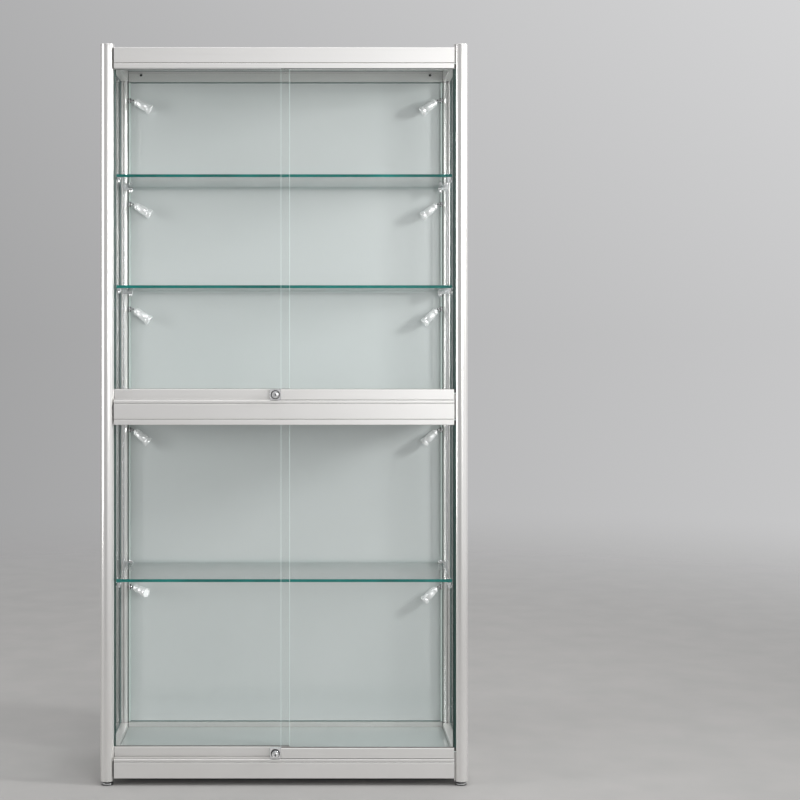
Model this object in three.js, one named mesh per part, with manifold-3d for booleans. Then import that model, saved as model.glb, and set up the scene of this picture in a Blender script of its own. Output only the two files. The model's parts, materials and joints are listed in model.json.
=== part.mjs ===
// Glass display showcase: a frame of round posts and slotted rails, glass sides, sliding glass doors in
// two bays, glass shelves, push locks and ten spot lamps.
// Millimetres. +X is right, +Y is towards the back, +Z is up. The origin is on the floor, below the middle of
// the whole cabinet, lock plungers included.

import * as THREE from 'three';
import { mergeVertices } from 'three/addons/utils/BufferGeometryUtils.js';
import Module from 'manifold-3d';

const wasm = await Module();
wasm.setup();

// ---------------------------------------------------------------- driving dimensions

const WIDTH = 1000;
const DEPTH = 400;
const POST_LENGTH = 2000;
const POST_R = 19;
const FOOT_HEIGHT = 11;
const GAP = 0.3;

// heights above the lower end of the posts
const TOP_RAIL = { bottom: 1935, top: 1992, rearBottom: 1957 };
const MID_RAIL = { bottom: 968, top: 1034, sideBottom: 983, rearTop: 1045 };
const BASE_RAIL = { bottom: 9, top: 61, rearTop: 72 };
const MID_DECK_TOP = 1032;
const BASE_DECK_TOP = 59;
const ROOF_UNDERSIDE = 1986;
const SHELF_TOPS = { upper_top_shelf: 1652, upper_low_shelf: 1348, lower_shelf: 543 };

// depths behind the front plane of the posts
const RAIL_FRONT = 3;
const RAIL_BACK = 34;
const FRONT_TRACK = 10;
const REAR_TRACK = 25;
const REAR_RAIL_FRONT = 366;
const REAR_RAIL_BACK = 397;
const BACK_PANEL = 385;

const DECK_THICK = 8;
const ROOF_THICK = 5;
const SHELF_THICK = 8;
const SIDE_GLASS_THICK = 5;
const SIDE_GLASS_X = 488;
const BACK_THICK = 6;
const GLAZING_SLOT = 7;
const GLAZING_DEPTH = 8;
const DOOR_GLASS_THICK = 5;

// the lock plungers stand this far before the posts, so the posts sit half as far behind the middle
const PLUNGER_REACH = 16;

const POST_X = WIDTH / 2 - POST_R;
const POST_Y = DEPTH / 2 - POST_R;
const INNER_X = POST_X - POST_R;
const INNER_Y = POST_Y - POST_R;
const RAIL_END = INNER_X - 0.6;
const SIDE_RAIL_END = INNER_Y - 0.6;

// a depth behind the front plane of the posts as a Y position
const y = (depth) => depth - DEPTH / 2;

// ---------------------------------------------------------------- materials

const material = (color, roughness, metalness, opacity = 1) => new THREE.MeshStandardMaterial({
  color, roughness, metalness, opacity, transparent: opacity < 1,
});
const ALUMINIUM = [0xd3d2ce, 0.38, 0.9];
const CLEAR_GLASS = [0xd6efe8, 0.04, 0, 0.3];
const WHITE_PANEL = [0xc3cccc, 0.12, 0];
const CHROME = [0xd8d8da, 0.12, 1];
const SILVER_PAINT = [0xe6e8ea, 0.3, 0.4];
const WHITE_PLASTIC = [0xdfe8e4, 0.5, 0];
const BLACK_RUBBER = [0x2a2a2c, 0.7, 0];

const cabinet = new THREE.Group();
cabinet.position.y = PLUNGER_REACH / 2;

function addMesh(name, geometry, finish) {
  const mesh = new THREE.Mesh(geometry, material(...finish));
  mesh.name = name;
  mesh.position.z = FOOT_HEIGHT;
  cabinet.add(mesh);
  return mesh;
}

// ---------------------------------------------------------------- solids

function toSolid(geometry) {
  const bare = geometry.clone();
  bare.deleteAttribute('normal');
  bare.deleteAttribute('uv');
  const merged = mergeVertices(bare, 1e-4);
  const triVerts = Uint32Array.from(merged.index.array);
  const vertProperties = Float32Array.from(merged.attributes.position.array);
  return new wasm.Manifold(new wasm.Mesh({ numProp: 3, vertProperties, triVerts }));
}

function toGeometry(solid) {
  const mesh = solid.getMesh();
  const geometry = new THREE.BufferGeometry();
  geometry.setAttribute('position', new THREE.BufferAttribute(Float32Array.from(mesh.vertProperties), 3));
  geometry.setIndex(new THREE.BufferAttribute(Uint32Array.from(mesh.triVerts), 1));
  geometry.computeVertexNormals();
  return geometry;
}

function cut(geometry, ...tools) {
  return toGeometry(tools.reduce((solid, tool) => solid.subtract(toSolid(tool)), toSolid(geometry)));
}

function join(geometry, ...others) {
  return toGeometry(others.reduce((solid, other) => solid.add(toSolid(other)), toSolid(geometry)));
}

// a box between two corners
function box(low, high) {
  const size = high.map((value, axis) => value - low[axis]);
  const centre = high.map((value, axis) => (value + low[axis]) / 2);
  return new THREE.BoxGeometry(...size).translate(...centre);
}

// a box mirrored to the left (-1) or right (+1) and to the front (-1) or rear (+1) of the cabinet
function cornerBox(sideX, sideY, low, high) {
  const xs = [low[0] * sideX, high[0] * sideX].sort((a, b) => a - b);
  const ys = [low[1] * sideY, high[1] * sideY].sort((a, b) => a - b);
  return box([xs[0], ys[0], low[2]], [xs[1], ys[1], high[2]]);
}

// a round bar of a radius between two points
function bar(radius, from, to, segments = 16) {
  const start = new THREE.Vector3(...from);
  const end = new THREE.Vector3(...to);
  const span = end.clone().sub(start);
  const upright = new THREE.Vector3(0, 1, 0);
  const turn = new THREE.Quaternion().setFromUnitVectors(upright, span.clone().normalize());
  return new THREE.CylinderGeometry(radius, radius, span.length(), segments)
    .applyQuaternion(turn)
    .translate(...start.add(end).multiplyScalar(0.5).toArray());
}

function outline(points, holes = []) {
  const toVectors = (list) => list.map(([a, b]) => new THREE.Vector2(a, b));
  const shape = new THREE.Shape(toVectors(points));
  shape.holes = holes.map((hole) => new THREE.Path(toVectors(hole)));
  return shape;
}

const rectangle = (a0, b0, a1, b1) => [[a0, b0], [a1, b0], [a1, b1], [a0, b1]];

// a section drawn in depth and height, pushed along X between two ends
function extrudeAlongX(section, x0, x1) {
  const turn = new THREE.Matrix4().set(0, 0, 1, x0, 1, 0, 0, 0, 0, 1, 0, 0, 0, 0, 0, 1);
  return new THREE.ExtrudeGeometry(section, { depth: x1 - x0, bevelEnabled: false }).applyMatrix4(turn);
}

// a section drawn in distance from the middle and height, pushed along Y; side -1 mirrors it to the left
function extrudeAlongY(section, y0, y1, side) {
  const pushed = new THREE.ExtrudeGeometry(section, { depth: y1 - y0, bevelEnabled: false });
  const start = side > 0 ? y1 : y0;
  const turn = new THREE.Matrix4().set(side, 0, 0, 0, 0, 0, -side, start, 0, 1, 0, 0, 0, 0, 0, 1);
  return pushed.applyMatrix4(turn);
}

// ---------------------------------------------------------------- posts

const STUD_BORE_R = 4.6;
const GLASS_SLOT_DEPTH = 9;
const DOOR_SLOT_DEPTH = 11;
const STRIP_GROOVE_X = 475.6;
const STRIP_GROOVE = 4;
const STRIP_GROOVE_END = 168;

function addPost(name, sideX, sideY) {
  const centre = [POST_X * sideX, POST_Y * sideY];
  const section = new THREE.Shape().absarc(...centre, POST_R, 0, Math.PI * 2);
  section.holes = [new THREE.Path().absarc(...centre, STUD_BORE_R, 0, Math.PI * 2, true)];
  const post = new THREE.ExtrudeGeometry(section, {
    depth: POST_LENGTH, bevelEnabled: false, curveSegments: 20,
  });
  const low = -1;
  const high = POST_LENGTH + 1;
  const half = GLAZING_SLOT / 2;
  const slots = [
    [[SIDE_GLASS_X - half, INNER_Y - 1], [SIDE_GLASS_X + half, INNER_Y + GLASS_SLOT_DEPTH]],
    [[STRIP_GROOVE_X - STRIP_GROOVE / 2, INNER_Y - 1], [STRIP_GROOVE_X + STRIP_GROOVE / 2, STRIP_GROOVE_END]],
  ];
  if (sideY > 0) {
    slots.push([[INNER_X - 1, y(BACK_PANEL - half)], [INNER_X + GLASS_SLOT_DEPTH, y(BACK_PANEL + half)]]);
  } else {
    const track = sideX < 0 ? REAR_TRACK : FRONT_TRACK;
    slots.push([[INNER_X - 1, -y(track + half)], [INNER_X + DOOR_SLOT_DEPTH, -y(track - half)]]);
  }
  const tools = slots.map(([near, far]) => cornerBox(sideX, sideY, [...near, low], [...far, high]));
  addMesh(name, cut(post, ...tools), ALUMINIUM);
}

addPost('front_left_post', -1, -1);
addPost('front_right_post', 1, -1);
addPost('rear_left_post', -1, 1);
addPost('rear_right_post', 1, 1);

// ---------------------------------------------------------------- front rails

const GUIDE_BAND = 13.8;
const GROOVE = 1.8;
const GROOVE_DEPTH = 2;
const CHAMFER = 0.8;
const LIP_HEIGHT = 7;
const TRACK_FLOOR = 7;
const TRACK_RIB = 2;
const TRACK_RIB_TOP = 4;
const CHANNEL = 8;
const CHANNEL_HEIGHT = 22;
const WALL = 2.2;
const LEDGE = 6;
const LEDGE_THICK = 3;
const LIP_WIDTH = 3;

// the decorated front face, from the bottom up: a guide band under a groove where doors hang below,
// the broad band, and a lip over a groove where doors stand above, with every edge chamfered
function frontFace({ bottom, top, doorsBelow, doorsAbove }) {
  const face = y(RAIL_FRONT);
  const grooveAt = (low) => [
    [face, low - CHAMFER], [face + CHAMFER, low], [face + GROOVE_DEPTH, low],
    [face + GROOVE_DEPTH, low + GROOVE], [face + CHAMFER, low + GROOVE], [face, low + GROOVE + CHAMFER],
  ];
  const points = [[face + CHAMFER, bottom], [face, bottom + CHAMFER]];
  if (doorsBelow) points.push(...grooveAt(bottom + GUIDE_BAND));
  if (doorsAbove) points.push(...grooveAt(top - LIP_HEIGHT - GROOVE));
  points.push([face, top - CHAMFER], [face + CHAMFER, top]);
  return points;
}

// the upper side with the two ribs that the doors roll on
function trackSide(top) {
  const floor = top - TRACK_FLOOR;
  const ribs = [FRONT_TRACK, REAR_TRACK].flatMap((depth) => [
    [y(depth - TRACK_RIB / 2), floor],
    [y(depth - TRACK_RIB / 2), top + TRACK_RIB_TOP],
    [y(depth + TRACK_RIB / 2), top + TRACK_RIB_TOP],
    [y(depth + TRACK_RIB / 2), floor],
  ]);
  const lip = y(RAIL_FRONT + LIP_WIDTH);
  return [[lip, top], [lip, floor], ...ribs, [y(RAIL_BACK), floor]];
}

// the lower side with the two channels that the door glass slides in, drawn from the back to the front
function channelSide(bottom) {
  return [REAR_TRACK, FRONT_TRACK].flatMap((depth) => [
    [y(depth + CHANNEL / 2), bottom],
    [y(depth + CHANNEL / 2), bottom + CHANNEL_HEIGHT],
    [y(depth - CHANNEL / 2), bottom + CHANNEL_HEIGHT],
    [y(depth - CHANNEL / 2), bottom],
  ]);
}

function addFrontRail(name, { bottom, top, doorsBelow, doorsAbove, ledgeTop }) {
  const ledge = [
    [y(RAIL_BACK), ledgeTop], [y(RAIL_BACK + LEDGE), ledgeTop],
    [y(RAIL_BACK + LEDGE), ledgeTop - LEDGE_THICK], [y(RAIL_BACK), ledgeTop - LEDGE_THICK],
  ];
  const points = [
    ...frontFace({ bottom, top, doorsBelow, doorsAbove }),
    ...(doorsAbove ? trackSide(top) : [[y(RAIL_BACK), top]]),
    ...ledge,
    [y(RAIL_BACK), bottom],
    ...(doorsBelow ? channelSide(bottom) : []),
  ];
  const hollowLow = doorsBelow ? bottom + CHANNEL_HEIGHT + WALL : bottom + WALL;
  const hollowHigh = doorsAbove ? top - TRACK_FLOOR - WALL : top - WALL;
  const hollow = rectangle(y(RAIL_FRONT + GROOVE_DEPTH + WALL), hollowLow, y(RAIL_BACK - WALL), hollowHigh);
  addMesh(name, extrudeAlongX(outline(points, [hollow]), -RAIL_END, RAIL_END), ALUMINIUM);
}

addFrontRail('top_front_rail', {
  bottom: TOP_RAIL.bottom, top: TOP_RAIL.top, doorsBelow: true, doorsAbove: false,
  ledgeTop: ROOF_UNDERSIDE - GAP,
});
addFrontRail('middle_front_rail', {
  bottom: MID_RAIL.bottom, top: MID_RAIL.top, doorsBelow: true, doorsAbove: true,
  ledgeTop: MID_DECK_TOP - DECK_THICK - GAP,
});
addFrontRail('bottom_front_rail', {
  bottom: BASE_RAIL.bottom, top: BASE_RAIL.top, doorsBelow: false, doorsAbove: true,
  ledgeTop: BASE_DECK_TOP - DECK_THICK - GAP,
});

// ---------------------------------------------------------------- rear and side rails

const WALL_HOLE_R = 4;
const WALL_HOLE_X = 425;
const WALL_HOLE_Z = 1976;
const DUCT = { x0: 456.7, x1: 461.7, depth0: 371, depth1: 379 };
const DUCT_CLEARANCE = 1;

// the outline of a hollow rail with a glazing slot below and above as asked, and a ledge on its inner side;
// inner and outer are its two faces along the first coordinate, and slot is the middle of the glazing slots
function glazedSection({ inner, outer, slot, bottom, top, slotBelow, slotAbove, ledgeTop }) {
  const out = Math.sign(outer - inner);
  const half = (GLAZING_SLOT / 2) * out;
  const points = [[inner, bottom]];
  if (slotBelow) {
    points.push([slot - half, bottom], [slot - half, bottom + GLAZING_DEPTH]);
    points.push([slot + half, bottom + GLAZING_DEPTH], [slot + half, bottom]);
  }
  points.push([outer, bottom], [outer, top]);
  if (slotAbove) {
    points.push([slot + half, top], [slot + half, top - GLAZING_DEPTH]);
    points.push([slot - half, top - GLAZING_DEPTH], [slot - half, top]);
  }
  points.push([inner, top]);
  if (ledgeTop) {
    points.push([inner, ledgeTop], [inner - LEDGE * out, ledgeTop]);
    points.push([inner - LEDGE * out, ledgeTop - LEDGE_THICK], [inner, ledgeTop - LEDGE_THICK]);
  }
  const hollowLow = bottom + WALL + (slotBelow ? GLAZING_DEPTH : 0);
  const hollowHigh = top - WALL - (slotAbove ? GLAZING_DEPTH : 0);
  return outline(points, [rectangle(inner + WALL * out, hollowLow, outer - WALL * out, hollowHigh)]);
}

function addRearRail(name, levels, tools = []) {
  const depths = { inner: y(REAR_RAIL_FRONT), outer: y(REAR_RAIL_BACK), slot: y(BACK_PANEL) };
  const section = glazedSection({ ...depths, ...levels });
  const rail = extrudeAlongX(section, -RAIL_END, RAIL_END);
  addMesh(name, tools.length ? cut(rail, ...tools) : rail, ALUMINIUM);
}

function addSideRails(level, levels) {
  for (const [label, side] of [['left', -1], ['right', 1]]) {
    const faces = { inner: INNER_X, outer: WIDTH / 2 - RAIL_FRONT, slot: SIDE_GLASS_X };
    const section = glazedSection({ ...faces, ...levels });
    addMesh(`${level}_${label}_rail`, extrudeAlongY(section, -SIDE_RAIL_END, SIDE_RAIL_END, side), ALUMINIUM);
  }
}

const wallHoles = [-1, 1].map((side) => bar(
  WALL_HOLE_R, [side * WALL_HOLE_X, y(REAR_RAIL_FRONT - 1), WALL_HOLE_Z],
  [side * WALL_HOLE_X, y(REAR_RAIL_BACK + 1), WALL_HOLE_Z],
));
const ductNotches = [-1, 1].map((side) => cornerBox(
  side, 1, [DUCT.x0 - DUCT_CLEARANCE, y(DUCT.depth0 - DUCT_CLEARANCE), MID_RAIL.sideBottom - 1],
  [INNER_X + 1, y(DUCT.depth1 + DUCT_CLEARANCE), MID_RAIL.rearTop + 1],
));

const topLevels = { bottom: TOP_RAIL.rearBottom, top: TOP_RAIL.top, slotBelow: true, slotAbove: false };
const midLevels = { bottom: MID_RAIL.sideBottom, top: MID_RAIL.rearTop, slotBelow: true, slotAbove: true };
const baseLevels = { bottom: BASE_RAIL.bottom, top: BASE_RAIL.rearTop, slotBelow: false, slotAbove: true };
const deckLedge = (deckTop) => deckTop - DECK_THICK - GAP;

addRearRail('top_rear_rail', { ...topLevels, ledgeTop: ROOF_UNDERSIDE - GAP }, wallHoles);
addRearRail('middle_rear_rail', { ...midLevels, ledgeTop: deckLedge(MID_DECK_TOP) }, ductNotches);
addRearRail('bottom_rear_rail', { ...baseLevels, ledgeTop: deckLedge(BASE_DECK_TOP) });
addSideRails('top', topLevels);
addSideRails('middle', midLevels);
addSideRails('bottom', baseLevels);

// ---------------------------------------------------------------- roof, decks, backs and side glass

const PANEL_X = INNER_X - 0.5;
const PANEL_FRONT = y(RAIL_BACK + GAP);
const PANEL_REAR = y(REAR_RAIL_FRONT - GAP);
const GLASS_BITE = 6;

function addDeck(name, top, thickness) {
  addMesh(name, box([-PANEL_X, PANEL_FRONT, top - thickness], [PANEL_X, PANEL_REAR, top]), WHITE_PANEL);
}

addDeck('roof_panel', ROOF_UNDERSIDE + ROOF_THICK, ROOF_THICK);
addDeck('middle_deck', MID_DECK_TOP, DECK_THICK);
addDeck('base_deck', BASE_DECK_TOP, DECK_THICK);

const BAYS = {
  upper: { glassLow: MID_RAIL.rearTop - GLASS_BITE, glassHigh: TOP_RAIL.rearBottom + GLASS_BITE },
  lower: { glassLow: BASE_RAIL.rearTop - GLASS_BITE, glassHigh: MID_RAIL.sideBottom + GLASS_BITE },
};

for (const [bay, { glassLow, glassHigh }] of Object.entries(BAYS)) {
  addMesh(`${bay}_back_panel`, box(
    [-INNER_X - GLASS_BITE, y(BACK_PANEL - BACK_THICK / 2), glassLow],
    [INNER_X + GLASS_BITE, y(BACK_PANEL + BACK_THICK / 2), glassHigh],
  ), WHITE_PANEL);
  for (const [label, side] of [['left', -1], ['right', 1]]) {
    const half = SIDE_GLASS_THICK / 2;
    const reach = INNER_Y + GLASS_BITE;
    addMesh(`${bay}_${label}_side_glass`, cornerBox(
      side, 1, [SIDE_GLASS_X - half, -reach, glassLow], [SIDE_GLASS_X + half, reach, glassHigh],
    ), CLEAR_GLASS);
  }
}

// ---------------------------------------------------------------- sliding doors

const DOOR_OVERLAP = { frontDoorEdge: -8.5, rearDoorEdge: 15.5 };
const DOOR_GLASS_WIDTH = 480;
const DOOR_RAIL_HALF = 6;
const DOOR_RAIL_HEIGHT = 28.5;
const DOOR_LIFT = 1.6;
const DOOR_GLASS_BITE = 11;
const DOOR_TOP_BITE = 14;
const ROLLER_SLOT = 5;
const ROLLER_SLOT_DEPTH = 10;
const DOOR_RAIL_END = INNER_X - 1;
const DOOR_OPENINGS = {
  upper: { floor: MID_RAIL.top, head: TOP_RAIL.bottom },
  lower: { floor: BASE_RAIL.top, head: MID_RAIL.bottom },
};
const LOCK = { x0: -38, width: 29.2, barrelR: 9.5, boreR: 7.7, plungerR: 7.3, pinR: 3, pinBoreR: 3.6 };
const LOCK_X = LOCK.x0 + LOCK.width / 2;
const lockHeight = (floor) => floor + DOOR_LIFT + DOOR_RAIL_HEIGHT / 2;

// an H-shaped rail: the glass stands in its upper slot and the rollers hide in its lower one
function doorRail(track, floor, x0, x1) {
  const low = floor + DOOR_LIFT;
  const high = low + DOOR_RAIL_HEIGHT;
  const slot = DOOR_GLASS_THICK / 2 + GAP;
  const front = y(track - DOOR_RAIL_HALF);
  const rear = y(track + DOOR_RAIL_HALF);
  const section = outline([
    [front + CHAMFER, low], [front, low + CHAMFER], [front, high - CHAMFER], [front + CHAMFER, high],
    [y(track - slot), high], [y(track - slot), high - DOOR_GLASS_BITE - GAP],
    [y(track + slot), high - DOOR_GLASS_BITE - GAP], [y(track + slot), high],
    [rear - CHAMFER, high], [rear, high - CHAMFER], [rear, low + CHAMFER], [rear - CHAMFER, low],
    [y(track) + ROLLER_SLOT / 2, low], [y(track) + ROLLER_SLOT / 2, low + ROLLER_SLOT_DEPTH],
    [y(track) - ROLLER_SLOT / 2, low + ROLLER_SLOT_DEPTH], [y(track) - ROLLER_SLOT / 2, low],
  ]);
  return extrudeAlongX(section, x0, x1);
}

function addDoor(name, track, { floor, head }, glassX, railX, lockHole) {
  const half = DOOR_GLASS_THICK / 2;
  const glassLow = floor + DOOR_LIFT + DOOR_RAIL_HEIGHT - DOOR_GLASS_BITE;
  addMesh(`${name}_door_glass`, box(
    [glassX[0], y(track) - half, glassLow], [glassX[1], y(track) + half, head + DOOR_TOP_BITE],
  ), CLEAR_GLASS);
  const rail = doorRail(track, floor, ...railX);
  addMesh(`${name}_door_rail`, lockHole ? cut(rail, lockHole) : rail, ALUMINIUM);
}

for (const [bay, opening] of Object.entries(DOOR_OPENINGS)) {
  const { frontDoorEdge, rearDoorEdge } = DOOR_OVERLAP;
  const pinDepth = REAR_TRACK - DOOR_RAIL_HALF;
  const height = lockHeight(opening.floor);
  const lockHole = bar(LOCK.pinBoreR, [LOCK_X, y(pinDepth - 1), height], [LOCK_X, y(pinDepth + 5), height]);
  addDoor(
    `${bay}_left`, REAR_TRACK, opening,
    [rearDoorEdge - DOOR_GLASS_WIDTH, rearDoorEdge], [-DOOR_RAIL_END, rearDoorEdge], lockHole,
  );
  addDoor(
    `${bay}_right`, FRONT_TRACK, opening,
    [frontDoorEdge, frontDoorEdge + DOOR_GLASS_WIDTH], [frontDoorEdge, DOOR_RAIL_END],
  );
}

// ---------------------------------------------------------------- push locks

const LOCK_FRONT = 3.5;
const LOCK_BACK = 17.5;
const BARREL_FRONT = -9;
const PLUNGER_FRONT = -PLUNGER_REACH;
const PLUNGER_BACK = 2;
const LOCK_BORE_BACK = 9;
const PIN_BACK = 17;
const KEY_DEPTH = 5;
const KEY_R = 2.2;
const KEY_SLOT = { width: 1.6, height: 7 };
const GUIDE_SLOT_DEPTH = 3.6;

function addLock(bay, height) {
  const at = (depth) => [LOCK_X, y(depth), height];
  const along = (radius, depth0, depth1) => bar(radius, at(depth0), at(depth1), 24);
  const half = DOOR_RAIL_HEIGHT / 2;
  const block = box(
    [LOCK.x0, y(LOCK_FRONT), height - half], [LOCK.x0 + LOCK.width, y(LOCK_BACK), height + half],
  );
  const barrel = along(LOCK.barrelR, BARREL_FRONT, LOCK_FRONT + 1);
  const guideSlot = box(
    [LOCK.x0 - 1, y(FRONT_TRACK) - ROLLER_SLOT / 2, height - half - 1],
    [LOCK.x0 + LOCK.width + 1, y(FRONT_TRACK) + ROLLER_SLOT / 2, height - half + GUIDE_SLOT_DEPTH],
  );
  const housing = toSolid(block).add(toSolid(barrel))
    .subtract(toSolid(guideSlot))
    .subtract(toSolid(along(LOCK.boreR, BARREL_FRONT - 1, LOCK_BORE_BACK)))
    .subtract(toSolid(along(LOCK.pinBoreR, LOCK_BORE_BACK - 1, LOCK_BACK + 1)));
  addMesh(`${bay}_lock_housing`, toGeometry(housing), CHROME);

  const slotHalf = KEY_SLOT.width / 2;
  const keySlot = box(
    [LOCK_X - slotHalf, y(PLUNGER_FRONT - 1), height - KEY_SLOT.height / 2],
    [LOCK_X + slotHalf, y(PLUNGER_FRONT + KEY_DEPTH), height + KEY_SLOT.height / 2],
  );
  const plunger = toSolid(along(LOCK.plungerR, PLUNGER_FRONT, PLUNGER_BACK))
    .add(toSolid(along(LOCK.pinR, PLUNGER_BACK - 1, PIN_BACK)))
    .subtract(toSolid(along(KEY_R, PLUNGER_FRONT - 1, PLUNGER_FRONT + KEY_DEPTH)))
    .subtract(toSolid(keySlot));
  addMesh(`${bay}_lock_plunger`, toGeometry(plunger), CHROME);
}

for (const [bay, { floor }] of Object.entries(DOOR_OPENINGS)) addLock(bay, lockHeight(floor));

// ---------------------------------------------------------------- glass shelves and their supports

const SHELF_X = 460;
const SHELF_FRONT = 46;
const SHELF_REAR = 370;
const BRACKET = { outer: 477.3, wall: 461, tip: 447, y0: 148, y1: 162.1, below: 8, above: 6 };
const KNOB = { r: 5, height: 5, x: 454 };
const STRIP = { x0: 473.9, x1: 477.3, y0: 161.8, y1: 167.4, margin: 40 };

for (const [name, top] of Object.entries(SHELF_TOPS)) {
  const sheet = box([-SHELF_X, y(SHELF_FRONT), top - SHELF_THICK], [SHELF_X, y(SHELF_REAR), top]);
  addMesh(name, sheet, CLEAR_GLASS);
}

// a strip in the post's groove with a bracket under each shelf; the rear ones also grip the glass from above
function addShelfSupport(name, sideX, sideY) {
  const tops = Object.values(SHELF_TOPS);
  const low = Math.min(...tops) - STRIP.margin;
  const high = Math.max(...tops) + STRIP.margin;
  const strip = cornerBox(sideX, sideY, [STRIP.x0, STRIP.y0, low], [STRIP.x1, STRIP.y1, high]);
  const parts = tops.flatMap((top) => {
    const under = top - SHELF_THICK - GAP;
    const over = top + GAP;
    const middleY = ((BRACKET.y0 + BRACKET.y1) / 2) * sideY;
    const knobBottom = under - BRACKET.below - KNOB.height;
    const jaw = (innerX, low, high) => cornerBox(
      sideX, sideY, [innerX, BRACKET.y0, low], [BRACKET.outer, BRACKET.y1, high],
    );
    const pieces = [
      jaw(BRACKET.tip, under - BRACKET.below, under),
      bar(KNOB.r, [KNOB.x * sideX, middleY, knobBottom], [KNOB.x * sideX, middleY, under - 1], 12),
    ];
    if (sideY > 0) {
      pieces.push(jaw(BRACKET.wall, under - 1, over + BRACKET.above));
      pieces.push(jaw(BRACKET.tip, over, over + BRACKET.above));
    }
    return pieces;
  });
  addMesh(name, join(strip, ...parts), CHROME);
}

addShelfSupport('front_left_shelf_support', -1, -1);
addShelfSupport('front_right_shelf_support', 1, -1);
addShelfSupport('rear_left_shelf_support', -1, 1);
addShelfSupport('rear_right_shelf_support', 1, 1);

// ---------------------------------------------------------------- spot lamps

const LAMP_DEPTH = 364;
const LAMP_PIVOT_X = 447;
const LAMP_HEIGHTS = [1901, 1596, 1288, 933, 472];
const LAMP_TILTS = { left: [28, 31, 36, 39, 12], right: [35, 39, 46, 44, 46] };
const LAMP_TURNS = { left: [0, 0, 0, 0, 42], right: [0, 0, 0, 0, 0] };
const DUCT_LOW = BASE_RAIL.rearTop + 2;
const DUCT_HIGH = TOP_RAIL.rearBottom - 2;
const SOCKET = { r: 6.5, x0: 452, x1: 461.7 };
const ARM_R = 1.6;
const ARM_REACH = 5;
const EYE = { r: 3.4, half: 1.5 };
const CHEEK = { r: 3.4, inner: 1.9, outer: 3.6, reach: 8 };
// radius of the head at distances from the pivot: neck, tapered body, bezel and lens seat
const HEAD_PROFILE = [
  [0, 6], [6, 6], [8.5, 9.5], [11.6, 47], [13.8, 49], [13.8, 58.5], [11, 58.5], [11, 55], [0, 55],
];
const HEAD_SEGMENTS = 14;
const degrees = THREE.MathUtils.degToRad;

// the direction of a lamp head and the horizontal hinge axis across it
function lampAxes(label, index) {
  const inward = label === 'left' ? 1 : -1;
  const tilt = degrees(LAMP_TILTS[label][index]);
  const turn = degrees(LAMP_TURNS[label][index]);
  const level = new THREE.Vector3(inward * Math.cos(turn), -Math.sin(turn), 0);
  const down = new THREE.Vector3(0, 0, -1);
  const along = level.clone().multiplyScalar(Math.cos(tilt)).addScaledVector(down, Math.sin(tilt));
  return { along, level, hinge: new THREE.Vector3().crossVectors(down, level) };
}

function addLampHead(label, index) {
  const side = label === 'left' ? -1 : 1;
  const { along, hinge } = lampAxes(label, index);
  const pivot = new THREE.Vector3(side * LAMP_PIVOT_X, y(LAMP_DEPTH), LAMP_HEIGHTS[index]);
  const profile = HEAD_PROFILE.map(([radius, reach]) => new THREE.Vector2(radius, reach));
  const body = new THREE.LatheGeometry(profile, HEAD_SEGMENTS);
  const cheeks = [-1, 1].flatMap((end) => {
    const [near, far] = [CHEEK.inner * end, CHEEK.outer * end].sort((a, b) => a - b);
    return [
      bar(CHEEK.r, [near, 0, 0], [far, 0, 0], 10),
      box([near, 0, -CHEEK.r], [far, CHEEK.reach, CHEEK.r]),
    ];
  });
  const head = join(body, ...cheeks);
  const across = new THREE.Vector3().crossVectors(hinge, along);
  const turn = new THREE.Matrix4().makeBasis(hinge, along, across);
  head.applyMatrix4(turn).translate(...pivot.toArray());
  addMesh(`${label}_lamp_${index + 1}_head`, head, SILVER_PAINT);
}

function addLampHarness(label) {
  const side = label === 'left' ? -1 : 1;
  const duct = cornerBox(
    side, 1, [DUCT.x0, y(DUCT.depth0), DUCT_LOW], [DUCT.x1, y(DUCT.depth1), DUCT_HIGH],
  );
  const parts = LAMP_HEIGHTS.flatMap((height, index) => {
    const { level, hinge } = lampAxes(label, index);
    const pivot = new THREE.Vector3(side * LAMP_PIVOT_X, y(LAMP_DEPTH), height);
    const half = hinge.clone().multiplyScalar(EYE.half);
    const elbow = pivot.clone().addScaledVector(level, -ARM_REACH);
    const bridge = cornerBox(
      side, 1, [DUCT.x0, y(LAMP_DEPTH), height - 3], [DUCT.x1, y(DUCT.depth0 + 1), height + 3],
    );
    return [
      bridge,
      bar(SOCKET.r, [side * SOCKET.x1, pivot.y, height], [side * SOCKET.x0, pivot.y, height], 14),
      bar(ARM_R, [side * (SOCKET.x0 + 1), elbow.y, height], elbow.toArray(), 8),
      bar(ARM_R, elbow.toArray(), pivot.toArray(), 8),
      bar(EYE.r, pivot.clone().sub(half).toArray(), pivot.clone().add(half).toArray(), 10),
    ];
  });
  addMesh(`${label}_lamp_harness`, join(duct, ...parts), WHITE_PLASTIC);
}

for (const label of ['left', 'right']) {
  LAMP_HEIGHTS.forEach((height, index) => addLampHead(label, index));
  addLampHarness(label);
}

// ---------------------------------------------------------------- levelling feet

// outline of a foot from the floor up: pad, collar and threaded stud, as radius and height
const FOOT_PROFILE = [
  [0, 60], [3.4, 60], [4, 59], [4, 9], [8, 9], [8, 6.5], [13, 6.5], [15, 5], [15, 1], [14, 0], [0, 0],
];

const FEET = [
  ['front_left_foot', -1, -1],
  ['front_right_foot', 1, -1],
  ['rear_left_foot', -1, 1],
  ['rear_right_foot', 1, 1],
];

for (const [name, sideX, sideY] of FEET) {
  const profile = FOOT_PROFILE.map(([radius, height]) => new THREE.Vector2(radius, height)).reverse();
  const foot = addMesh(name, new THREE.LatheGeometry(profile, 20).rotateX(Math.PI / 2), BLACK_RUBBER);
  foot.position.set(POST_X * sideX, POST_Y * sideY, 0);
}

export default cabinet;
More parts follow.
